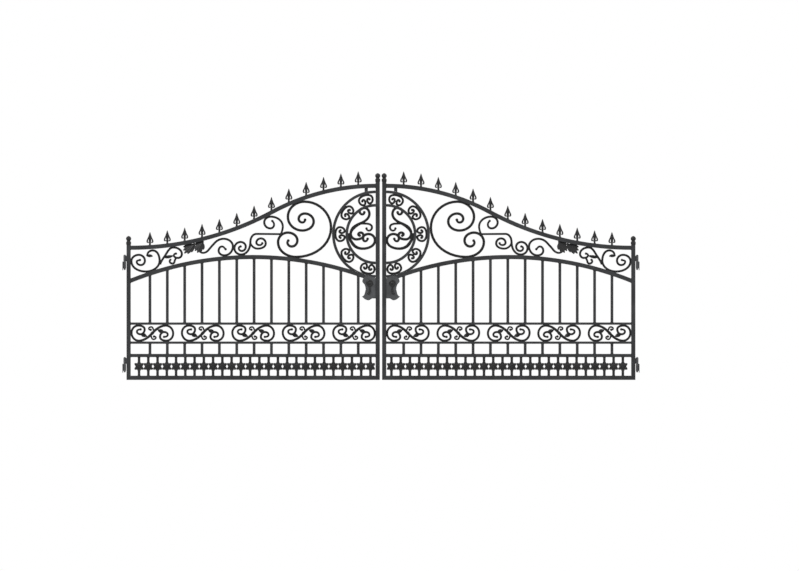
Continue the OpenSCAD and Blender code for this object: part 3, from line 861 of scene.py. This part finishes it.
def clenched(at, heading, along, across, deep):
    """A collar clenched round a bar: a short block with rounded edges, turned with the bar."""
    made = drawn_out(
        [(-along / 2, across / 2, deep / 2), (along / 2, across / 2, deep / 2)], 4, square=True
    )
    ease(made, collar_ease)
    made.rotation_euler.y = math.radians(90 - heading)
    made.location = at
    return settle(made)


panels = []
for i in range(panel_count):
    at = Vector((band[0].x + panel_half + i * panel_step, 0, band_z))
    ess = chalked(ess_half + turned(ess_half), at)
    panels.append(scroll(ess, small_section, (small_ball, small_ball), swell=ess_swell))
    panels.append(clenched(at, ess_half[-1][2], *ess_collar))
    for turn in (0, 180):
        comma = chalked(comma_line, at, turn)
        panels.append(scroll(comma, comma_section, (0, small_ball), (1, 0.9)))
        panels.append(leaf(chalked([bud_spot], at, turn)[0], bud_l, bud_w, bud_curl))
hang_pair(join(panels), "band_forgings", forged_paint, ["band_scrolls"])


# A row of cast rosettes fills the foot: six cupped petals and two small sepals round a boss, held
# between the two rails by short square stems.
rosette_count = 26
rosette_r = 0.056
rosette_reach = 0.888 * rosette_r
stem_w = 0.028
stem_deep_share = 0.72
stem_end_share = 0.78
stem_ease = 0.002
petal_deep_share = 0.9
boss_deep_share = 0.53
boss_ring_share = 0.44
upright_petal = (rosette_r, 0.042)
side_petal = (0.059, 0.034)
sepal = (0.040, 0.022)
petals = [(turn, *upright_petal) for turn in (90, 270)]
petals += [(turn, *side_petal) for turn in (33, 147, 213, 327)]
petals += [(turn, *sepal) for turn in (0, 180)]
petal_hollow = 0.58
petal_full = 1.2
petal_blunt = 0.7
petal_flat = 0.3
rim_sides = (0.86, 0.62)
rim_root = (0.30, 0.41)
rim_tip = (0.91, 0.84)
boss_r = 0.012
boss_ring = 0.0032


def ramp(value, low, high):
    """0 at the low end, 1 at the high end, and held there beyond."""
    return max(0, min(1, (value - low) / (high - low)))


def petal(turn, length, width, z, deep):
    """A cupped petal, from the boss to its rolled tip: a ball pressed flat, with a hollow on both
    faces inside a raised rim."""
    bpy.ops.mesh.primitive_uv_sphere_add(segments=20, ring_count=12, radius=1)
    made = bpy.context.object
    c, s = math.cos(math.radians(turn)), math.sin(math.radians(turn))
    for v in made.data.vertices:
        along = math.acos(max(-1, min(1, -v.co.z))) / math.pi
        around = math.atan2(v.co.y, v.co.x)
        across, front = math.cos(around), math.sin(around)
        run = length * along
        half = width / 2 * math.sin(math.pi * along ** petal_full) ** petal_blunt * across
        inside = ramp(abs(across), *rim_sides) * ramp(along, *rim_root) * ramp(along, *rim_tip)
        thick = deep * (1 - petal_hollow * inside)
        v.co.x = run * c - half * s
        v.co.z = z + run * s + half * c
        v.co.y = math.copysign(abs(front) ** petal_flat, front) * thick / 2
    in_edit(made, outward)
    smooth(made, 35)
    return made


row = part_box("left_rosettes")
rosette_deep = row[1].y - row[0].y
row_first = row[0].x + rosette_reach
row_step = (row[1].x - row[0].x - 2 * rosette_reach) / (rosette_count - 1)
row_z = (row[0].z + row[1].z) / 2
stem_h = row_z - row[0].z - stem_end_share * rosette_r
stem_deep = stem_deep_share * rosette_deep
model = [petal(*place, row_z, petal_deep_share * rosette_deep) for place in petals]
model.append(ball(0, row_z, boss_r, boss_deep_share * rosette_deep, 18, 10))
for way in (1, -1):
    bpy.ops.mesh.primitive_torus_add(
        major_segments=24, minor_segments=6, major_radius=boss_r + boss_ring,
        minor_radius=boss_ring, location=(0, way * boss_ring_share * rosette_deep, row_z),
        rotation=(math.radians(90), 0, 0),
    )
    smooth(settle(bpy.context.object), 60)
    model.append(bpy.context.object)
for rail_z, stem_z in ((row[0].z, row[0].z), (row[1].z, row[1].z - stem_h)):
    stem = drawn_out(
        [(stem_z, stem_w / 2, stem_deep / 2), (stem_z + stem_h, stem_w / 2, stem_deep / 2)],
        4, square=True,
    )
    ease(stem, stem_ease, 2)
    bead = bead_round(stem_w, stem_deep)
    model += [stem, copy_to(bead, (0, 0, rail_z))]
    bpy.data.objects.remove(bead)
model_rosette = join(model)
rosettes = [copy_to(model_rosette, (row_first + i * row_step, 0, 0)) for i in range(rosette_count)]
bpy.data.objects.remove(model_rosette)
hang_pair(join(rosettes), "rosette_row", cast_paint, ["rosettes"])


# The lock case is a plain steel box between the stile and the last picket. It hangs from the arch rail
# and is painted with the frame.
case_corner = 0.0025

case = skin_of("left_lock_case")
ease(case, case_corner)
hang_pair(case, "lock_box", tube_paint, ["lock_case"])

# An ornamental plate covers each face of the case. It is cut from sheet, with a bead laid inside its
# edge, and held by slotted screws. Lines and places on it are in millimetres from the spindle's
# level on the meeting stile.
plate_edge = 0.0009
border_w = 0.0028
border_lines = (
    [(-7, -155, 180), (-36, -155, 190), (-75, -175, 180), (-118, -158, 142), (-137, -146, 162)],
    [(-137, -146, 355), (-111, -116, 72), (-99, -66, 90), (-111, -11, 115), (-135, 20, 90),
     (-92, 71, 20), (-7, 49, 340)],
    [(-7, 49, 270), (-7, -155, 270)],
)
screw_r = 0.0052
screw_h = 0.0024
screw_steps = [(0, 1), (0.45, 1), (0.8, 0.8), (1, 0.35)]
screw_slot_w = 0.0012
screw_slot_deep = 0.001
screw_turn = 35
screw_spots = [(-17, 38), (-122, 14), (-17, -145), (-104, -152), (-88, 56)]

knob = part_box("left_handle")
rose_r = (knob[1].x - knob[0].x) / 2
spindle = Vector((knob[0].x + rose_r, 0, knob[1].z - rose_r))
plate_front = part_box("left_lock_plates")[1].y
plates = skin_of("left_lock_plates")
ease(plates, plate_edge, 2)
border_section = bar_section(border_w, border_w, corner=1, points=8)
borders = []
for line in border_lines:
    for way in (1, -1):
        wire = forge(chalked(line, Vector((meeting_face, 0, spindle.z))), border_section, steps=8)
        wire.location.y = way * plate_front
        borders.append(settle(wire))

screw = drawn_out([(screw_h * up, screw_r * out, screw_r * out) for up, out in screw_steps], 24)
bpy.ops.mesh.primitive_cube_add(
    size=1, location=(0, 0, screw_h), scale=(3 * screw_r, screw_slot_w, 2 * screw_slot_deep)
)
cutter = bpy.context.object
shape(screw, "BOOLEAN", operation="DIFFERENCE", object=cutter, solver="EXACT")
bpy.data.objects.remove(cutter)
smooth(screw, 35)
screws = []
for i, (x, z) in enumerate(screw_spots):
    for way in (1, -1):
        made = copy_of(screw)
        made.rotation_mode = "ZYX"
        made.rotation_euler = (math.radians(90 * way), 0, math.radians(screw_turn * i))
        made.location = (meeting_face + x * MM, -way * plate_front, spindle.z + z * MM)
        screws.append(settle(made))
bpy.data.objects.remove(screw)
fitting_paint = black_paint("fitting_paint", (0.060, 0.062, 0.066), 0.32, 0.34, 520, 0.00018)
covers = join([plates, *borders, *screws])
hang_pair(covers, "lock_covers", fitting_paint, ["lock_plates"])


# The handle is a forged tail on a drop-shaped rose, one on each face of the gate, pinned on a spindle
# that runs through the case. It is dipped in glossy black enamel.
rose_front = knob[1].y
rose_t = 0.012
drop_narrow = 0.35
drop_long = 0.14
drop_thin = 0.15
tail_bar = 0.0190
tail_ball = 0.0120
tail_ball_deep = 0.0085
spindle_r = 0.0059
rose_steps = [
    (0.0, 0.93), (0.0015, 1.0), (0.0040, 1.0), (0.0072, 0.94), (0.0084, 0.84), (0.0078, 0.72),
    (0.0056, 0.58), (0.0050, 0.46), (0.0064, 0.40), (0.0096, 0.34), (0.0114, 0.22), (0.0120, 0.06),
]
tail_line = [(-5, -26, 292), (3, -68, 270), (0, -90, 260), (-12, -109, 220)]

rose = drawn_out([(z, share * rose_r, share * rose_r) for z, share in rose_steps], 48)
for v in rose.data.vertices:
    drop = max(0, -v.co.y) / rose_r
    v.co.x *= 1 - drop_narrow * drop ** 3
    v.co.y *= 1 + drop_long * drop ** 4
    v.co.z *= 1 - drop_thin * drop ** 3
rose.rotation_euler.x = math.radians(90)
rose.location = (spindle.x, -(rose_front - rose_t), spindle.z)
smooth(settle(rose), 40)
tail_section = bar_section(tail_bar, rose_t, corner=0.75, points=20)
tail_path = chalked(tail_line, spindle)
tail_end = ball(*tail_path[-1][:2], tail_ball, tail_ball_deep, 24, 14)
tail = join([forge(tail_path, tail_section, (0.6, 0.9)), tail_end])
tail.location.y = -(rose_front - rose_t / 2)
front = join([rose, settle(tail)])
back = copy_of(front)
back.scale.y = -1
in_edit(settle(back), outward)
pin_end = rose_front - rose_t
pin = drawn_out([(-pin_end, spindle_r, spindle_r), (pin_end, spindle_r, spindle_r)], 32)
pin.rotation_euler.x = math.radians(90)
pin.location = spindle
smooth(settle(pin), 40)
handle_paint = black_paint("handle_paint", (0.006, 0.006, 0.0062), 0.4, 0.22, 380, 0.00012)
handles = ("left_handle", "right_handle")
hang_pair(join([front, back, pin]), "drop_handle", handle_paint, ["handle"], handles)


# Weld-on hinges: the upper barrel has a domed end and a web to the stile, the lower one is welded to
# a plate on the post, and a pin with a washer and a nut runs through both.
barrel_h = 0.072
barrel_edge = 0.001
hinge_web = 0.014
web_inset = 0.002
plate_t = 0.008
plate_h = 0.092
washer_h = 0.003
washer_r = 0.011
washer_edge = 0.0006
nut_h = 0.012
nut_r = 0.012
nut_edge = 0.0022
pin_r = 0.008
pin_up = 0.010
pin_down = 0.005
hinge_ease = 0.0012
running_gap = 0.0003

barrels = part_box("left_hinge_barrels")
on_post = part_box("left_post_hinges")
barrel_r = barrels[1].y
barrel_x = barrels[0].x + barrel_r
partings = (barrels[0].z, barrels[1].z - barrel_h)


def turned_steel(x, stations, sides=48):
    """A turned piece that stands upright at x."""
    made = drawn_out([(z, r, r) for z, r in stations], sides)
    made.location.x = x
    smooth(settle(made), 40)
    return made


def web(x_low, x_high, z_low, z_high, deep):
    """A flat piece of steel between two places along the gate."""
    wide = (x_high - x_low) / 2
    made = drawn_out([(z_low, wide, deep / 2), (z_high, wide, deep / 2)], 4, square=True)
    ease(made, hinge_ease, 2)
    made.location.x = (x_low + x_high) / 2
    return settle(made)


def side_weld(x, z_low, z_high, deep):
    """A weld bead round the end of a web, on an upright face."""
    bead = bead_round(z_high - z_low, deep)
    bead.rotation_euler.y = math.radians(90)
    bead.location = (x, 0, (z_low + z_high) / 2)
    return settle(bead)


on_leaf, on_posts = [], []
for z in partings:
    dome = [
        (z + barrel_h - barrel_r * (1 - math.sin(a)), barrel_r * math.cos(a))
        for a in (math.radians(15 * i) for i in range(1, 6))
    ]
    on_leaf += [
        turned_steel(
            barrel_x,
            [(z + running_gap, barrel_r - barrel_edge), (z + running_gap + barrel_edge, barrel_r),
             (z + barrel_h - barrel_r, barrel_r), *dome, (z + barrel_h, 0.0008)],
        ),
        web(barrel_x, hinge_face_out, z + web_inset, z + barrel_h - barrel_r, hinge_web),
        side_weld(hinge_face_out, z + web_inset, z + barrel_h - barrel_r, hinge_web),
    ]
    seat_z = z - washer_h
    low_z = seat_z - barrel_h
    plate_low = seat_z - plate_h
    nut_low = low_z - nut_h
    on_posts += [
        turned_steel(
            barrel_x,
            [(low_z, barrel_r - barrel_edge), (low_z + barrel_edge, barrel_r),
             (seat_z - barrel_edge, barrel_r), (seat_z, barrel_r - barrel_edge)],
        ),
        turned_steel(
            barrel_x,
            [(seat_z, washer_r - washer_edge), (seat_z + washer_edge, washer_r),
             (z - washer_edge, washer_r), (z, washer_r - washer_edge)],
        ),
        turned_steel(barrel_x, [(z - 0.001, pin_r), (z + pin_up, pin_r)]),
        turned_steel(
            barrel_x,
            [(nut_low, nut_r - nut_edge), (nut_low + 0.001, nut_r), (low_z - 0.001, nut_r),
             (low_z, nut_r - nut_edge)],
            sides=6,
        ),
        turned_steel(
            barrel_x,
            [(nut_low - pin_down, 0.0066), (nut_low - pin_down + 0.001, 0.0078), (low_z, 0.0078)],
        ),
        web(on_post[0].x, on_post[0].x + plate_t, plate_low, seat_z, on_post[1].y - on_post[0].y),
        web(on_post[0].x + plate_t - 0.001, barrel_x, low_z, seat_z, hinge_web),
        side_weld(on_post[0].x + plate_t, low_z, seat_z, hinge_web),
    ]
hang_pair(join(on_leaf), "hinge_knuckles", fitting_paint, ["hinge_barrels"])
hang_pair(
    join(on_posts), "hinge_seats", fitting_paint, ["post_hinges"],
    ("posts", "posts"),
)


for section in (
    barb_section, big_section, small_section, comma_section, border_section, tail_section
):
    bpy.data.objects.remove(section)
